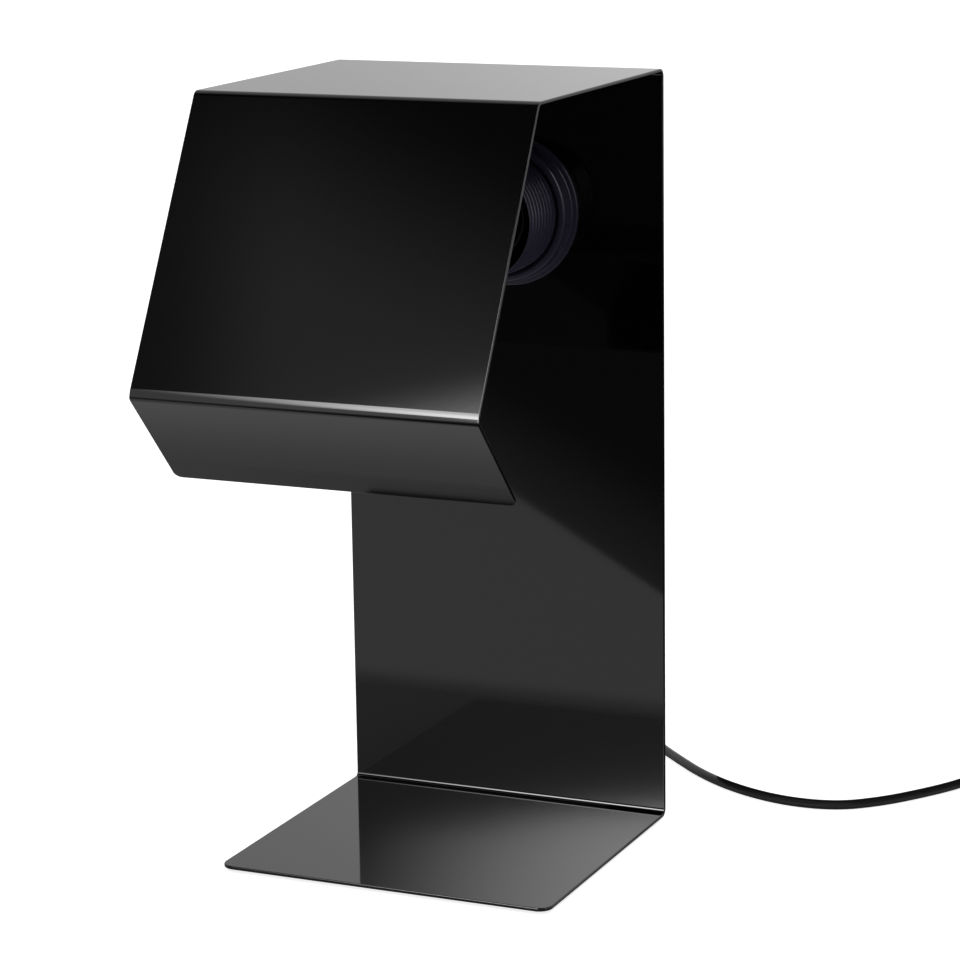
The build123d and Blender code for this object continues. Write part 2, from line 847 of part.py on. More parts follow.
finish(plug_body, "plug_body")

with BuildPart() as plug_pins:
    with BuildSketch(plug_face.offset(-pin_root)):
        with Locations(*pin_places):
            Circle(pin_shank)
    extrude(amount=pin_root + pin_length)
    with BuildSketch(plug_face.offset(pin_length - pin_tip)):
        with Locations(*pin_places):
            Circle(pin_radius)
    extrude(amount=pin_tip)
    pin_ends = plug_pins.faces().sort_by(Axis.Y)[:2].edges()
    chamfer(pin_ends, pin_radius / 3)
finish(plug_pins, "plug_pins")

with BuildPart() as pin_sleeves:
    with BuildSketch(plug_face):
        with Locations(*pin_places):
            Circle(pin_sleeve)
            Circle(pin_shank, mode=Mode.SUBTRACT)
    extrude(amount=pin_length - pin_tip)
finish(pin_sleeves, "pin_sleeves")
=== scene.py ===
import math

import bmesh
import bpy
from mathutils import Euler, Matrix, Vector


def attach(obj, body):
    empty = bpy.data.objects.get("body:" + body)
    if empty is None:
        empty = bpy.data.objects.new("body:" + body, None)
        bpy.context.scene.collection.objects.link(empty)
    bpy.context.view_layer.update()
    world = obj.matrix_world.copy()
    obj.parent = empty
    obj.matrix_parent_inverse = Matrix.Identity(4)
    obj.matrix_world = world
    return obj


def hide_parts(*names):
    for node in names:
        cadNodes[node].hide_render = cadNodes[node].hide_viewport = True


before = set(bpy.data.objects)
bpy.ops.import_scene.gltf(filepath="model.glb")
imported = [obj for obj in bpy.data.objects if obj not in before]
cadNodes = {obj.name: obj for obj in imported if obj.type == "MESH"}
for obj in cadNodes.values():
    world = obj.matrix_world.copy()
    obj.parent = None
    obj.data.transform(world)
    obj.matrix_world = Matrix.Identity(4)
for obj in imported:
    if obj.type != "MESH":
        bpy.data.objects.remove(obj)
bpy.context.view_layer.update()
bpy.context.scene.view_settings.view_transform = "Standard"
fullTurn = 2 * math.pi
mm = 0.001
sameSpot = 0.01 * mm
weldWithin = 0.001 * mm


# camera

cameraSetup = {
    "place": (0.43996, -0.95132, 0.35858),
    "lens": 125.66,
    "turn": 24.1338,
    "down": 12.6971,
    "roll": -0.8648,
}
bpy.ops.object.camera_add(location=cameraSetup["place"])
camera = bpy.context.object
camera.name = "lampCamera"
camera.data.lens = cameraSetup["lens"]
camera.data.clip_start, camera.data.clip_end = 0.05, 50
aim = Euler((math.radians(90 - cameraSetup["down"]), 0, math.radians(cameraSetup["turn"])))
camera.rotation_mode = "QUATERNION"
camera.rotation_quaternion = (
    aim.to_matrix() @ Matrix.Rotation(math.radians(cameraSetup["roll"]), 3, "Z")
).to_quaternion()
bpy.context.scene.camera = camera
print("camera set")


# finishes


def linearColour(hexText):
    parts = [int(hexText[i : i + 2], 16) / 255 for i in (1, 3, 5)]
    return [p / 12.92 if p < 0.04045 else ((p + 0.055) / 1.055) ** 2.4 for p in parts] + [1]


def addNode(tree, kind, values=None, links=None):
    node = tree.nodes.new(kind)
    for name, value in (values or {}).items():
        if isinstance(name, int) or name in node.inputs:
            node.inputs[name].default_value = value
        else:
            setattr(node, name, value)
    for name, source in (links or {}).items():
        tree.links.new(source, node.inputs[name])
    return node


def addRamp(tree, source, stops):
    (start, low), (end, high) = stops
    values = {
        "interpolation_type": "SMOOTHSTEP",
        "From Min": start,
        "From Max": end,
        "To Min": low,
        "To Max": high,
    }
    return addNode(tree, "ShaderNodeMapRange", values, {"Value": source}).outputs["Result"]


def newFinish(name, colour, values, grains=()):
    finish = bpy.data.materials.new(name)
    finish.use_nodes = True
    tree = finish.node_tree
    tree.nodes.clear()
    links = {}
    place = addNode(tree, "ShaderNodeTexCoord").outputs["Object"]
    for size, depth, detail in grains:  # grain size and depth in mm
        noise = addNode(
            tree,
            "ShaderNodeTexNoise",
            {"Scale": 1 / (size * mm), "Detail": detail},
            {"Vector": place},
        )
        bump = addNode(
            tree,
            "ShaderNodeBump",
            {"Distance": depth * mm},
            {"Height": noise.outputs["Fac"], **links},
        )
        links = {"Normal": bump.outputs["Normal"]}
    shader = addNode(
        tree, "ShaderNodeBsdfPrincipled", {"Base Color": linearColour(colour), **values}, links
    )
    addNode(tree, "ShaderNodeOutputMaterial", None, {"Surface": shader.outputs["BSDF"]})
    return finish


# gloss stoving enamel on sheet steel: deep black, sharp reflections, a trace of orange peel
glossEnamel = newFinish(
    "glossStovingEnamel",
    "#060607",
    {"Roughness": 0.045, "IOR": 1.5},
    [(60, 0.030, 0), (2.6, 0.0006, 1)],
)
# moulded phenolic: black with a violet cast, polished by its mould
phenolicColour = "#373547"
mouldedPhenolic = newFinish(
    "mouldedPhenolic", phenolicColour, {"Roughness": 0.24, "IOR": 1.45}, [(0.9, 0.002, 2)]
)
# steatite-filled insert: matt black moulding
mattInsert = newFinish("mattInsert", "#131316", {"Roughness": 0.55, "IOR": 1.52}, [(0.5, 0.006, 2)])
# nickel-plated steel: warm grey metal with faint rolling marks
nickelPlate = newFinish(
    "nickelPlate", "#B9B2A6", {"Metallic": 1.0, "Roughness": 0.24}, [(0.6, 0.003, 2)]
)
# rolled brass: yellow metal, soft shine
rolledBrass = newFinish(
    "rolledBrass", "#C9A35A", {"Metallic": 1.0, "Roughness": 0.28}, [(0.6, 0.003, 2)]
)
# darker, duller copies of brass and nickel plate: painted shade for the parts deep inside the holder
shadedBrass = newFinish(
    "shadedBrass", "#453921", {"Metallic": 1.0, "Roughness": 0.45}, [(0.5, 0.006, 3)]
)
shadedNickel = newFinish(
    "shadedNickel", "#34322F", {"Metallic": 1.0, "Roughness": 0.45}, [(0.5, 0.006, 3)]
)
# zinc-plated steel screws: cool grey metal
zincPlate = newFinish("zincPlate", "#AEB4B8", {"Metallic": 1.0, "Roughness": 0.3}, [(0.5, 0.003, 2)])
# nylon grub screw: milky dull plastic
nylon = newFinish("mouldedNylon", "#D8D5CB", {"Roughness": 0.45, "IOR": 1.53})
# soft PVC: black, satin, slightly uneven
softVinyl = newFinish("softVinyl", "#141415", {"Roughness": 0.42, "IOR": 1.53}, [(1.2, 0.01, 2)])
# extruded PVC sheath: black with a satin shine along it
vinylSheath = newFinish("vinylSheath", "#121213", {"Roughness": 0.34, "IOR": 1.53}, [(1.6, 0.01, 1)])
# coloured PVC of the cores
coreVinyl = newFinish("coreVinyl", "#2F6FA8", {"Roughness": 0.4, "IOR": 1.53})
# moulded ABS of the inline switch: black, fine spark-eroded texture
sparkAbs = newFinish("sparkTexturedAbs", "#18181A", {"Roughness": 0.4, "IOR": 1.54}, [(0.35, 0.012, 2)])
# polished ABS rocker: smoother and glossier than its case
polishedAbs = newFinish("polishedAbs", "#131314", {"Roughness": 0.22, "IOR": 1.54})
# closed-cell foam: matt, dark, finely pitted
closedFoam = newFinish("closedCellFoam", "#161616", {"Roughness": 0.85, "IOR": 1.45}, [(0.5, 0.06, 3)])
# nickel-plated brass pins and their polyamide sleeves
pinPlate = newFinish("pinPlate", "#C9C6BF", {"Metallic": 1.0, "Roughness": 0.2})
sleevePolyamide = newFinish("sleevePolyamide", "#161617", {"Roughness": 0.45, "IOR": 1.53})
print("finishes made")


# ways of working


def drawLine(name, points):
    bpy.ops.object.select_all(action="DESELECT")
    bpy.ops.mesh.primitive_plane_add(size=mm)
    piece = bpy.context.object
    piece.name = piece.data.name = name
    bpy.ops.object.mode_set(mode="EDIT")
    bpy.ops.mesh.merge(type="CENTER")
    bpy.ops.transform.translate(value=points[0])
    for before, point in zip(points, points[1:]):
        bpy.ops.mesh.extrude_region_move(TRANSFORM_OT_translate={"value": point - before})
    return piece


def pickVertices(test):
    mesh = bmesh.from_edit_mesh(bpy.context.object.data)
    for vertex in mesh.verts:
        vertex.select = test(vertex.co)
    mesh.select_flush(True)
    mesh.select_flush(False)
    bmesh.update_edit_mesh(bpy.context.object.data)


def roundPath(points, radii, steps=8, closed=False):
    count = len(points)
    path = []
    for number, corner in enumerate(points):
        corner = Vector(corner)
        radius = radii[number] if isinstance(radii, (list, tuple)) else radii
        if not closed and number in (0, count - 1):
            path.append(corner)
            continue
        back = Vector(points[number - 1]) - corner
        on = Vector(points[(number + 1) % count]) - corner
        half = back.angle(on) / 2
        if half > math.radians(86) or not radius:
            path.append(corner)
            continue
        reach = min(radius / math.tan(half), 0.45 * back.length, 0.45 * on.length)
        radius = reach * math.tan(half)
        middle = corner + (back.normalized() + on.normalized()).normalized() * radius / math.sin(half)
        firstWay = corner + back.normalized() * reach - middle
        lastWay = corner + on.normalized() * reach - middle
        spread = firstWay.angle(lastWay)
        for step in range(steps + 1):
            part = step / steps
            share = [math.sin((1 - part) * spread), math.sin(part * spread)]
            path.append(middle + (share[0] * firstWay + share[1] * lastWay) / math.sin(spread))
    if closed:
        path.append(path[0].copy())
    return path


def makeSolid(piece):
    bpy.ops.mesh.select_all(action="SELECT")
    bpy.ops.mesh.remove_doubles(threshold=weldWithin)
    bpy.ops.mesh.normals_make_consistent(inside=False)
    bpy.ops.object.mode_set(mode="OBJECT")


def turnPiece(name, profile, place, steps=96, angle=35):
    points = [Vector((0, -ahead * mm, radius * mm)) for ahead, radius in profile]
    piece = drawLine(name, points)
    bpy.ops.mesh.select_all(action="SELECT")
    bpy.ops.mesh.spin(steps=steps, angle=fullTurn, center=(0, 0, 0), axis=(0, 1, 0))
    makeSolid(piece)
    setDown(piece, place, angle)
    return piece


def only(piece):
    bpy.ops.object.select_all(action="DESELECT")
    piece.select_set(True)
    bpy.context.view_layer.objects.active = piece


def setDown(piece, place, angle):
    only(piece)
    piece.location = place
    bpy.ops.object.transform_apply(location=True, rotation=True, scale=True)
    bpy.ops.object.shade_smooth_by_angle(angle=math.radians(angle))


def applyModifier(piece, kind, values):
    only(piece)
    bpy.ops.object.modifier_add(type=kind)
    modifier = piece.modifiers[-1]
    for name, value in values.items():
        setattr(modifier, name, value)
    bpy.ops.object.modifier_apply(modifier=modifier.name)


def cutWith(piece, cutter):
    applyModifier(piece, "BOOLEAN", {"operation": "DIFFERENCE", "solver": "EXACT", "object": cutter})
    bpy.data.objects.remove(cutter)


def fitOut(piece, finish, slotName, body, *replaced):
    piece.data.materials.clear()
    piece.data.materials.append(finish)
    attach(piece, body)
    if replaced:
        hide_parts(*replaced)


# folded sheet

sheetForm = {
    "width": 114.5,
    "height": 250.0,
    "baseDepth": 102.5,
    "topDepth": 102.0,
    "frontLength": 99.0,
    "frontSlope": 28.5,
    "lipLength": 40.5,
    "lipSlope": 42.3,
    "padUnder": 1.0,
    "thickness": 1.2,
    "bendOutside": 2.7,
    "creaseOutside": 1.6,
    "softTurn": 13.0,  # the front's lower bend starts with a wide arc
    "softOutside": 8.0,
    "softFrom": 2.4,
    "bendSteps": 18,
    "baseCorner": 4.5,
    "lipCorner": 2.5,
    "cornerSteps": 10,
    "holeRadius": 20.3,
    "holeSide": 3.0,
    "holeHeight": 203.5,
    "holeAround": 160,
    "holeCutter": 10.0,
    "edgeRound": 0.35,
    "edgeSteps": 3,
    "edgeAngle": 50,
}


def foldSheet(form):
    backY = form["baseDepth"] / 2
    topZ = form["padUnder"] + form["height"]
    topFrontY = backY - form["topDepth"]
    front, lip = math.radians(form["frontSlope"]), math.radians(form["lipSlope"])
    creaseY = topFrontY - form["frontLength"] * math.sin(front)
    creaseZ = topZ - form["frontLength"] * math.cos(front)
    lipY = creaseY + form["lipLength"] * math.sin(lip)
    lipZ = creaseZ - form["lipLength"] * math.cos(lip)
    soft = math.radians(form["softTurn"])
    softY = creaseY + form["softFrom"] * math.sin(front)
    softZ = creaseZ + form["softFrom"] * math.cos(front)
    run = form["softFrom"] * math.sin(front + lip) / math.sin(front + lip - soft)
    corners = [
        (-backY, form["padUnder"]),
        (backY, form["padUnder"]),
        (backY, topZ),
        (topFrontY, topZ),
        (softY, softZ),
        (softY - run * math.sin(front - soft), softZ - run * math.cos(front - soft)),
        (lipY, lipZ),
    ]
    outside = form["bendOutside"]
    radii = [0, outside, outside, outside, form["softOutside"], form["creaseOutside"], 0]
    path = [
        Vector((0, y * mm, z * mm))
        for y, z in roundPath(corners, radii, form["bendSteps"])
    ]
    halfWidth = form["width"] / 2 * mm
    bpy.ops.object.select_all(action="DESELECT")
    bpy.ops.mesh.primitive_plane_add(size=2)
    piece = bpy.context.object
    piece.name = piece.data.name = "foldedSheet"
    bpy.ops.object.mode_set(mode="EDIT")
    middle = (path[0] + path[1]) / 2
    halfRun = (path[1] - path[0]).length / 2
    bpy.ops.transform.resize(value=(halfWidth, halfRun, 1), center_override=(0, 0, 0))
    bpy.ops.transform.translate(value=middle)
    bpy.ops.mesh.flip_normals()
    pickVertices(lambda spot: spot.y > middle.y)
    for before, point in zip(path[1:], path[2:]):
        bpy.ops.mesh.extrude_region_move(TRANSFORM_OT_translate={"value": point - before})
    for end, radius in ((path[0], form["baseCorner"]), (path[-1], form["lipCorner"])):
        pickVertices(lambda spot: (Vector((0, spot.y, spot.z)) - end).length < sameSpot)
        bpy.ops.mesh.bevel(offset=radius * mm, segments=form["cornerSteps"], affect="VERTICES")
    bpy.ops.object.mode_set(mode="OBJECT")
    applyModifier(
        piece,
        "SOLIDIFY",
        {"thickness": form["thickness"] * mm, "offset": -1, "use_even_offset": True},
    )
    bpy.ops.mesh.primitive_cylinder_add(
        vertices=form["holeAround"],
        radius=form["holeRadius"] * mm,
        depth=form["holeCutter"] * mm,
        location=(form["holeSide"] * mm, backY * mm, form["holeHeight"] * mm),
        rotation=(math.pi / 2, 0, 0),
    )
    cutWith(piece, bpy.context.object)
    applyModifier(
        piece,
        "BEVEL",
        {
            "width": form["edgeRound"] * mm,
            "segments": form["edgeSteps"],
            "limit_method": "ANGLE",
            "angle_limit": math.radians(form["edgeAngle"]),
        },
    )
    only(piece)
    bpy.ops.object.shade_smooth()
    applyModifier(piece, "WEIGHTED_NORMAL", {"mode": "FACE_AREA", "weight": 80, "keep_sharp": False})
    return piece


foldedSheet = foldSheet(sheetForm)
fitOut(foldedSheet, glossEnamel, "coated_steel", "lamp", "body_sheet")
print("sheet folded")


# lampholder, in mm along its axis: ahead of the panel's rear face, and out from the axis

holderForm = {
    "place": (3.0, 51.25, 203.5),
    "mouth": 29.0,
    "leadIn": 4.0,
    "leadInWide": 1.1,
    "bore": 18.2,
    "root": 19.75,
    "crest": 20.0,
    "pitch": 2.5,
    "threadBack": 0.9,
    "threadFront": 28.3,
    "ridge": [(0.8, 0.35), (0.45, 0.15), (0.2, 0.03)],  # share of half a pitch, mm below the crest
    "ridgeSteps": 72,
    "ridgeFade": 40,  # degrees over which it rises at each end
    "shoulder": 23.0,
    "shoulderBack": -3.0,
    "spigot": 19.6,
    "spigotBack": -11.0,
    "ledgeBack": 20.4,
    "ledgeFront": 22.0,
    "ledgeBore": 14.2,
    "round": 0.35,
    "around": 144,
    # painted shade: close to the axis the bore is coloured near black, standing in for the shade deep in
    # the holder
    "boreShade": [(19.2, 0), (19.5, 1)],  # out from the axis, and how much of the plain colour shows through the painted shade
    "boreShadeColour": "#050505",
}
holderPlace = Vector(holderForm["place"]) * mm


def windRidge(name, section, form, place):
    pitch, steps = form["pitch"], form["ridgeSteps"]
    turns = (form["threadFront"] - form["threadBack"]) / pitch
    points = [Vector((0, -ahead * mm, radius * mm)) for ahead, radius in section]
    piece = drawLine(name, points + points[:1])
    bpy.ops.mesh.select_all(action="SELECT")
    bpy.ops.mesh.remove_doubles(threshold=weldWithin)
    bpy.ops.object.mode_set(mode="OBJECT")
    whole = round(turns * steps)
    applyModifier(
        piece,
        "SCREW",
        {
            "axis": "Y",
            "angle": fullTurn * whole / steps,
            "screw_offset": -pitch * mm * whole / steps,
            "steps": whole,
            "render_steps": whole,
        },
    )
    ring = len(section)
    low = section[0][1] * mm
    leastRise = 0.02
    for vertex in piece.data.vertices:
        step = vertex.index // ring
        share = min(1, min(step, whole - step) / steps * 360 / form["ridgeFade"])
        out = math.hypot(vertex.co.x, vertex.co.z)
        wanted = low + (out - low) * max(share, leastRise)
        vertex.co.x *= wanted / out
        vertex.co.z *= wanted / out
    only(piece)
    bpy.ops.object.mode_set(mode="EDIT")
    bpy.ops.mesh.select_all(action="DESELECT")
    bpy.ops.mesh.select_mode(type="EDGE")
    bpy.ops.mesh.select_non_manifold()
    bpy.ops.mesh.edge_face_add()
    bpy.ops.mesh.select_mode(type="VERT")
    makeSolid(piece)
    setDown(piece, place, 50)
    return piece


def mergePieces(first, *others):
    bpy.ops.object.select_all(action="DESELECT")
    for piece in (first, *others):
        piece.select_set(True)
    bpy.context.view_layer.objects.active = first
    bpy.ops.object.join()
    return first


def turnSkirt(form):
    profile = [
        (form["mouth"] - form["leadIn"], form["bore"]),
        (form["mouth"], form["bore"] + form["leadInWide"]),
        (form["mouth"], form["root"]),
        (0, form["root"]),
        (0, form["shoulder"]),
        (form["shoulderBack"], form["shoulder"]),
        (form["shoulderBack"], form["spigot"]),
        (form["spigotBack"], form["spigot"]),
        (form["spigotBack"], form["bore"]),
        (form["ledgeBack"], form["bore"]),
        (form["ledgeBack"], form["ledgeBore"]),
        (form["ledgeFront"], form["ledgeBore"]),
        (form["ledgeFront"], form["bore"]),
    ]
    outline = roundPath(profile, form["round"], 3, True)
    skirt = turnPiece("threadedSkirt", outline, holderPlace, form["around"])
    half = form["pitch"] / 2
    start, crest = form["threadBack"], form["crest"]
    section = [
        *((start - share * half, crest - drop) for share, drop in form["ridge"]),
        (start, crest),
        *((start + share * half, crest - drop) for share, drop in reversed(form["ridge"])),
    ]
    return mergePieces(skirt, windRidge("skirtRidge", section, form, holderPlace))


# paints shade into a finish: near black and without shine close to the holder's axis
def paintBoreShade(finish, form, centre, unshadedColour):
    tree = finish.node_tree
    stops = [(out * mm, share) for out, share in form["boreShade"]]
    place = addNode(tree, "ShaderNodeTexCoord").outputs["Object"]
    across = addNode(
        tree, "ShaderNodeVectorMath", {"operation": "MULTIPLY", 1: (1, 0, 1)}, {0: place}
    ).outputs[0]
    away = addNode(
        tree,
        "ShaderNodeVectorMath",
        {"operation": "DISTANCE", 1: (centre.x, 0, centre.z)},
        {0: across},
    ).outputs["Value"]
    share = addRamp(tree, away, stops)
    boreShade = linearColour(form["boreShadeColour"])
    colours = {"data_type": "RGBA", 6: boreShade, 7: linearColour(unshadedColour)}
    mixed = addNode(tree, "ShaderNodeMix", colours, {"Factor": share})
    shine = addNode(tree, "ShaderNodeMath", {"operation": "MULTIPLY", 1: 0.5}, {0: share})
    shader = tree.nodes["Principled BSDF"].inputs
    tree.links.new(mixed.outputs[2], shader["Base Color"])
    tree.links.new(shine.outputs[0], shader["Specular IOR Level"])


# painted shade: the bore is coloured near black and its shine taken away, standing in for the shade deep
# inside the holder
shadedBorePhenolic = mouldedPhenolic.copy()
shadedBorePhenolic.name = "shadedBorePhenolic"
paintBoreShade(shadedBorePhenolic, holderForm, holderPlace, phenolicColour)
threadedSkirt = turnSkirt(holderForm)
fitOut(threadedSkirt, shadedBorePhenolic, "holder_plastic", "lamp", "holder_skirt")

ringForm = {
    "back": 1.2,
    "rim": 25.1,
    "rimFront": 2.8,
    "shoulder": 23.2,
    "front": 9.2,
    "bore": 20.3,
    "boreChamfer": 1.0,
    "rounds": [0.2, 0.35, 0.35, 0.4, 1.6, 0.25, 0.25],
    "around": 144,
}


def turnRing(form):
    profile = [
        (form["back"], form["bore"]),
        (form["back"], form["rim"]),
        (form["rimFront"], form["rim"]),
        (form["rimFront"], form["shoulder"]),
        (form["front"], form["shoulder"]),
        (form["front"], form["bore"] + form["boreChamfer"]),
        (form["front"] - form["boreChamfer"], form["bore"]),
    ]
    outline = roundPath(profile, form["rounds"], 6, True)
    return turnPiece("shadeRing", outline, holderPlace, form["around"], 60)


shadeRing = turnRing(ringForm)
fitOut(shadeRing, mouldedPhenolic, "holder_plastic", "lamp", "shade_ring")

capForm = {
    "front": -3.0,
    "outer": 23.0,
    "inner": 19.7,
    "domeFront": -17.0,
    "dome": 13.0,
    "domeInner": 10.8,
    "neckRadius": 8.0,
    "neckBore": 5.0,
    "neckFront": -30.0,
    "neckBack": -38.0,
    "domeSteps": 16,
    "round": 0.4,
    "around": 128,
}


def turnCap(form):
    steps = form["domeSteps"]
    quarter = [fullTurn / 4 * step / steps for step in range(steps + 1)]
    outerDome = [
        (
            form["domeFront"] - form["dome"] * math.cos(angle),
            form["outer"] - form["dome"] + form["dome"] * math.sin(angle),
        )
        for angle in quarter
    ]
    innerDome = [
        (
            form["domeFront"] - form["domeInner"] * math.sin(angle),
            form["inner"] - form["domeInner"] + form["domeInner"] * math.cos(angle),
        )
        for angle in quarter
    ]
    profile = [
        (form["neckBack"], form["neckBore"]),
        (form["neckBack"], form["neckRadius"]),
        (form["neckFront"], form["neckRadius"]),
        *outerDome,
        (form["front"], form["outer"]),
        (form["front"], form["inner"]),
        *innerDome,
        (form["domeFront"] - form["domeInner"], form["neckBore"]),
    ]
    outline = roundPath(profile, form["round"], 3, True)
    return turnPiece("holderCap", outline, holderPlace, form["around"], 40)


holderCap = turnCap(capForm)
fitOut(holderCap, mouldedPhenolic, "holder_plastic", "lamp", "holder_cap")
print("lampholder turned")

gripForm = {
    "spigot": 4.95,
    "spigotFront": -30.0,
    "flange": 7.5,
    "flangeFront": -38.0,
    "flangeBack": -40.0,
    "root": 5.0,
    "tip": 2.9,
    "end": -60.0,
    "bore": 1.7,
    "grooves": 5,
    "grooveWidth": 1.3,
    "grooveDepth": 0.9,
    "round": 0.3,
    "around": 64,
}


def turnGrip(form):
    length = form["flangeBack"] - form["end"]
    pitch = length / (form["grooves"] + 1)
    profile = [
        (form["spigotFront"], form["bore"]),
        (form["spigotFront"], form["spigot"]),
        (form["flangeFront"], form["spigot"]),
        (form["flangeFront"], form["flange"]),
        (form["flangeBack"], form["flange"]),
        (form["flangeBack"], form["root"]),
    ]
    for number in range(1, form["grooves"] + 1):
        middle = form["flangeBack"] - pitch * number
        surface = form["root"] + (form["tip"] - form["root"]) * number / (form["grooves"] + 1)
        front, back = middle + form["grooveWidth"] / 2, middle - form["grooveWidth"] / 2
        floor = surface - form["grooveDepth"]
        profile += [(front, surface), (front, floor), (back, floor), (back, surface)]
    profile += [(form["end"], form["tip"]), (form["end"], form["bore"])]
    outline = roundPath(profile, form["round"], 3, True)
    return turnPiece("cordGrip", outline, holderPlace, form["around"], 40)


cordGrip = turnGrip(gripForm)
fitOut(cordGrip, softVinyl, "soft_plastic", "lamp", "cord_grip")
print("strain relief made")


# flex: the route's points in metres

flexForm = {"diameter": 0.0032}
flexRoute = [
    (0.0030, 0.1073, 0.2035),
    (0.0030, 0.1240, 0.2035),
    (0.0033, 0.1380, 0.1945),
    (0.0040, 0.1460, 0.1790),
    (0.0046, 0.1495, 0.1560),
    (0.0052, 0.1498, 0.1190),
    (0.0058, 0.1486, 0.0800),
    (0.0070, 0.1460, 0.0450),
    (0.0105, 0.1405, 0.0210),
    (0.0173, 0.1325, 0.0060),
    (0.0265, 0.1230, 0.0016),
    (0.0395, 0.1098, 0.0016),
    (0.0540, 0.0958, 0.0016),
    (0.0710, 0.0846, 0.0016),
    (0.0900, 0.0782, 0.0016),
    (0.1080, 0.0796, 0.0016),
    (0.1207, 0.0902, 0.0016),
    (0.1305, 0.1032, 0.0016),
    (0.1388, 0.1163, 0.0016),
    (0.1475, 0.1292, 0.0034),
    (0.1565, 0.1343, 0.0068),
    (0.1665, 0.1350, 0.0075),
]
coilRoute = [
    (0.2170, 0.1350, 0.0075),
    (0.2292, 0.1347, 0.0069),
    (0.2394, 0.1278, 0.0049),
    (0.2435, 0.1163, 0.0027),
    (0.2401, 0.1049, 0.0016),
    (0.2304, 0.0976, 0.0016),
    (0.2182, 0.0974, 0.0016),
]
plugRoute = [
    (0.1974, 0.0755, 0.0102),
    (0.1972, 0.0675, 0.0096),
    (0.1973, 0.0610, 0.0074),
    (0.1974, 0.0552, 0.00685),
]
coilForm = {
    "centre": (0.218, 0.075),
    "radii": [22.5, 19.2, 15.9, 17.55, 20.85] * 2,  # one for each turn, in mm
    "layers": [0, 0, 0, 1, 1, 2, 2, 2, 3, 3],
    "firstHeight": 1.6,
    "layerRise": 2.86,
    "lift": 0.4,  # where turns cross over
    "step": 0.2,  # share of a turn in which the flex moves over
    "climbFrom": 0.72,  # share of a turn at which it climbs to the next layer
    "climbOver": 0.24,
    "pointCount": 24,
    "start": 90,
    "end": 180,
}


def easeStep(share):
    share = min(max(share, 0), 1)
    return share * share * (3 - 2 * share)


def windCoil(form):
    count = form["pointCount"]
    total = len(form["radii"]) * count + (form["end"] - form["start"]) / 360 * count
    drawIn = math.cos(math.pi / count)
    points = []
    for number in range(1, round(total)):
        turns = number / count
        turn = min(int(turns), len(form["radii"]) - 1)
        share = turns - turn
        before = max(turn - 1, 0)
        moved = easeStep(share / form["step"])
        radius = form["radii"][before] + (form["radii"][turn] - form["radii"][before]) * moved
        layer = form["layers"][turn]
        height = form["firstHeight"] + form["layerRise"] * layer
        after = min(turn + 1, len(form["radii"]) - 1)
        rise = (share - form["climbFrom"]) / form["climbOver"]
        climb = easeStep(rise) if after > turn else 0
        height += form["layerRise"] * (form["layers"][after] - layer) * climb
        crossing = math.sin(math.pi * min(share / form["step"], 1)) ** 2
        height += form["lift"] * layer * crossing
        angle = math.radians(form["start"]) + fullTurn * turns
        points.append(
            (
                form["centre"][0] + radius / drawIn * mm * math.cos(angle),
                form["centre"][1] + radius / drawIn * mm * math.sin(angle),
                height * mm,
            )
        )
    return points


def layFlex(name, points):
    line = bpy.data.curves.new(name, "CURVE")
    line.dimensions = "3D"
    line.bevel_depth = flexForm["diameter"] / 2
    line.bevel_resolution = 5
    line.resolution_u = 6
    line.use_fill_caps = True
    spline = line.splines.new("NURBS")
    spline.points.add(len(points) - 1)
    for spot, point in zip(spline.points, points):
        spot.co = (*point, 1)
    spline.order_u = 3
    spline.use_endpoint_u = True
    piece = bpy.data.objects.new(name, line)
    bpy.context.scene.collection.objects.link(piece)
    return piece


flexToSwitch = layFlex("flexToSwitch", flexRoute)
fitOut(flexToSwitch, vinylSheath, "flex_sheath", "lamp", "flex_to_switch")
flexToPlug = layFlex("flexToPlug", coilRoute + windCoil(coilForm) + plugRoute)
fitOut(flexToPlug, vinylSheath, "flex_sheath", "lamp", "flex_to_coil", "flex_coil", "flex_to_plug")
print("flex laid")


# finishes of the other pieces

nodeFinishes = {
    "base_pad": closedFoam,
    "socket_insulator": mattInsert,
    # painted shade: the shell and contacts inside the holder take the darkened copies of brass and
    # nickel
    "screw_shell": shadedNickel,
    "centre_contact": shadedBrass,
    "contact_foot": shadedBrass,
    "contact_rivets": shadedBrass,
    "terminal_blocks": rolledBrass,
    "terminal_screws": zincPlate,
    "core_wires": coreVinyl,
    "flex_in_grip": vinylSheath,
    "lock_screw": nylon,
    "switch_base": sparkAbs,
    "switch_cover": sparkAbs,
    "switch_rocker": polishedAbs,
    "rocker_plunger": nylon,
    "contact_seesaw": rolledBrass,
    "fulcrum_bracket": rolledBrass,
    "fixed_contact": rolledBrass,
    "case_screws": zincPlate,
    "plug_body": softVinyl,
    "plug_pins": pinPlate,
    "pin_sleeves": sleevePolyamide,
}
for nodeName, finish in nodeFinishes.items():
    for materialSlot in cadNodes[nodeName].material_slots:
        materialSlot.material = finish
print("finishes given")


# studio

studioForm = {
    "floorSize": 8.0,
    "floorColour": "#EDEDED",
    "floorLift": 0.85,
    "overhead": [(0.3, 0.08), (0.95, 0.85)],  # what lights matt surfaces, by how far up
    "behind": [(-0.46, 0.66), (-0.33, 0.88)],  # light by how far the way goes to the right
    "ahead": [(0.64, 0.37), (0.70, 0.03)],  # light by how far it goes up
    "aheadLeft": [(-0.49, 0.3), (-0.45, 1.0)],  # and the share of it that is left, to the left
    "sides": [(-0.3, 0), (0.2, 1)],  # where ahead turns into behind
}


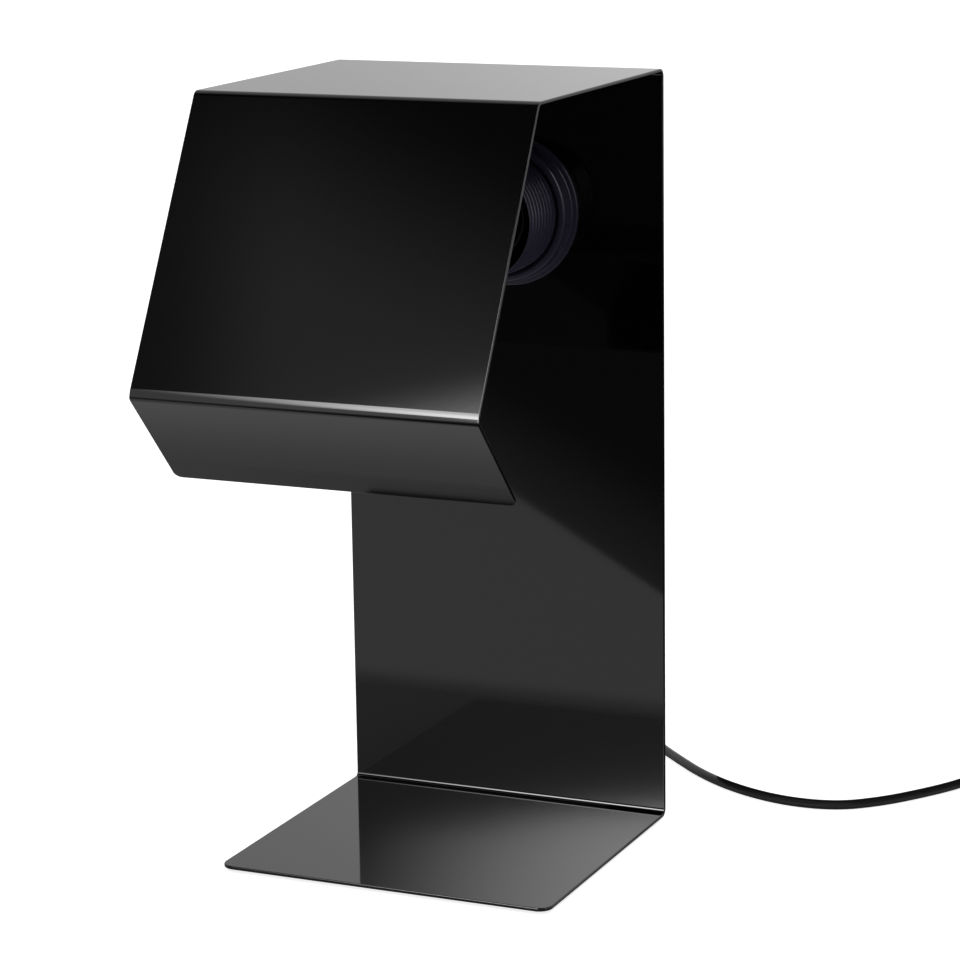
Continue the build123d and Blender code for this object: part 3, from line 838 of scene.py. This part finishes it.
def laySurface(name, size, place, turn, finish):
    bpy.ops.object.select_all(action="DESELECT")
    bpy.ops.mesh.primitive_plane_add(size=1, location=place)
    surface = bpy.context.object
    surface.name = name
    surface.scale = (*size, 1)
    surface.rotation_euler = turn
    surface.data.materials.append(finish)
    return surface


def multiply(tree, first, second):
    links = {0: first, 1: second}
    return addNode(tree, "ShaderNodeMath", {"operation": "MULTIPLY"}, links).outputs[0]


def mixLight(tree, factor, first, second):
    return addNode(
        tree, "ShaderNodeMix", {"data_type": "FLOAT"}, {"Factor": factor, "A": first, "B": second}
    ).outputs["Result"]


def newStageFinish(name):
    finish = bpy.data.materials.new(name)
    finish.use_nodes = True
    finish.node_tree.nodes.clear()
    return finish


def floorFinish(form):
    finish = newStageFinish("paleFloor")
    tree = finish.node_tree
    path = addNode(tree, "ShaderNodeLightPath")
    plain = addNode(tree, "ShaderNodeBsdfDiffuse", {"Color": linearColour(form["floorColour"])})
    lift = addNode(
        tree,
        "ShaderNodeMath",
        {"operation": "MULTIPLY", 1: form["floorLift"]},
        {0: path.outputs["Is Camera Ray"]},
    )
    glow = addNode(tree, "ShaderNodeEmission", None, {"Strength": lift.outputs[0]})
    both = addNode(tree, "ShaderNodeAddShader", None, {0: plain.outputs[0], 1: glow.outputs[0]})
    addNode(tree, "ShaderNodeOutputMaterial", None, {"Surface": both.outputs[0]})
    return finish


floor = laySurface(
    "paleFloor", (studioForm["floorSize"],) * 2, (0, 0, 0), (0, 0, 0), floorFinish(studioForm)
)


def lightWorld(form):
    world = bpy.data.worlds.new("studioWorld")
    bpy.context.scene.world = world
    world.use_nodes = True
    tree = world.node_tree
    tree.nodes.clear()
    path = addNode(tree, "ShaderNodeLightPath")
    way = addNode(tree, "ShaderNodeTexCoord").outputs["Generated"]
    split = addNode(tree, "ShaderNodeSeparateXYZ", None, {"Vector": way}).outputs
    ahead = multiply(
        tree,
        addRamp(tree, split["Z"], form["ahead"]),
        addRamp(tree, split["X"], form["aheadLeft"]),
    )
    behind = addRamp(tree, split["X"], form["behind"])
    mirrored = mixLight(tree, addRamp(tree, split["Y"], form["sides"]), ahead, behind)
    overhead = addRamp(tree, split["Z"], form["overhead"])
    lit = mixLight(tree, path.outputs["Is Glossy Ray"], overhead, mirrored)
    shown = addNode(
        tree,
        "ShaderNodeMix",
        {"data_type": "FLOAT", "B": 1.0},
        {"Factor": path.outputs["Is Camera Ray"], "A": lit},
    )
    back = addNode(tree, "ShaderNodeBackground", None, {"Strength": shown.outputs["Result"]})
    back.inputs["Color"].default_value = (1, 1, 1, 1)
    addNode(tree, "ShaderNodeOutputWorld", None, {"Surface": back.outputs["Background"]})


lightWorld(studioForm)

softboxForm = {
    "place": (-0.91, -3.445, 2.059),
    "target": (0, -0.05, 0.15),
    "size": (2.6, 2.6),
    "strength": [(-0.3, 24.0), (0.2, 10.0)],  # weaker toward the top
    "spill": 0.75,  # under the lower edge and left of the left one
    "edges": [  # the way out over each edge, and where the light fades along it
        ((0.119, -0.993, 0), (0.320, 0.342)),
        ((0.473, 0.881, 0), (0.398, 0.477)),
        ((0.948, -0.319, 0), (0.238, 0.434)),
    ],
}


def softboxFinish(form):
    finish = newStageFinish("softboxCloth")
    tree = finish.node_tree
    place = addNode(tree, "ShaderNodeTexCoord").outputs["Object"]
    fades = []
    for way, (start, end) in form["edges"]:
        out = addNode(tree, "ShaderNodeVectorMath", {"operation": "DOT_PRODUCT", 1: way}, {0: place})
        fades.append(addRamp(tree, out.outputs["Value"], [(start, 1), (end, 0)]))
    split = addNode(tree, "ShaderNodeSeparateXYZ", None, {"Vector": place})
    strength = addRamp(tree, split.outputs["Y"], form["strength"])
    inside = multiply(tree, multiply(tree, fades[0], fades[2]), strength)
    spilt = addNode(
        tree, "ShaderNodeMath", {"operation": "ADD", 1: form["spill"]}, {0: inside}
    ).outputs[0]
    seen = multiply(tree, spilt, fades[1])
    glow = addNode(tree, "ShaderNodeEmission", None, {"Strength": seen})
    clear = addNode(tree, "ShaderNodeBsdfTransparent")
    both = addNode(tree, "ShaderNodeAddShader", None, {0: glow.outputs[0], 1: clear.outputs[0]})
    addNode(tree, "ShaderNodeOutputMaterial", None, {"Surface": both.outputs[0]})
    return finish


def facing(form):
    return (Vector(form["target"]) - Vector(form["place"])).to_track_quat("Z", "Y").to_euler()


softbox = laySurface(
    "softbox", softboxForm["size"], softboxForm["place"], facing(softboxForm), softboxFinish(softboxForm)
)
softbox.visible_camera = False
softbox.visible_diffuse = False


def clothFinish(name, stops):
    finish = newStageFinish(name)
    tree = finish.node_tree
    place = addNode(tree, "ShaderNodeTexCoord").outputs["Object"]
    split = addNode(tree, "ShaderNodeSeparateXYZ", None, {"Vector": place})
    glow = addNode(
        tree, "ShaderNodeEmission", None, {"Strength": addRamp(tree, split.outputs["Y"], stops)}
    )
    addNode(tree, "ShaderNodeOutputMaterial", None, {"Surface": glow.outputs[0]})
    return finish


# what only the enamel mirrors: a bright strip at the right, dark cloths and the floor's sheen, which
# glows less toward the base as painted shade of the floor close to the lamp
mirroredForms = {
    "rightStrip": {
        "place": (1.15, -0.30, 0.784),
        "target": (0.02, -0.03, 0.2),
        "size": (0.22, 0.8),
        "stops": [(-0.5, 5.0), (0.5, 7.0)],
    },
    "frontFlag": {
        "place": (0.343, -0.677, 0.006),
        "turn": 48.5,
        "size": (1.6, 1.2),
        "stops": [(0.425, 0.052), (0.52, 0.24)],
    },
    "rightFlag": {
        "place": (0.31, 0.575, 0.004),
        "turn": 0,
        "size": (0.5, 1.1),
        "stops": [(-0.1, 0.0), (0.5, 0.15)],
    },
    # glows less at its edge by the base: painted shade of the floor there, seen only in reflections
    "floorSheen": {
        "place": (-0.3, -0.556, 0.002),
        "turn": 0,
        "size": (1.6, 1.0),
        "stops": [(0.475, 0.78), (0.5, 0.42)],
    },
}
for name, form in mirroredForms.items():
    turn = facing(form) if "target" in form else (0, 0, math.radians(form["turn"]))
    finish = clothFinish(name + "Cloth", form["stops"])
    surface = laySurface(name, form["size"], form["place"], turn, finish)
    surface.visible_camera = False
    surface.visible_diffuse = False
    surface.visible_shadow = False
print("studio lit")
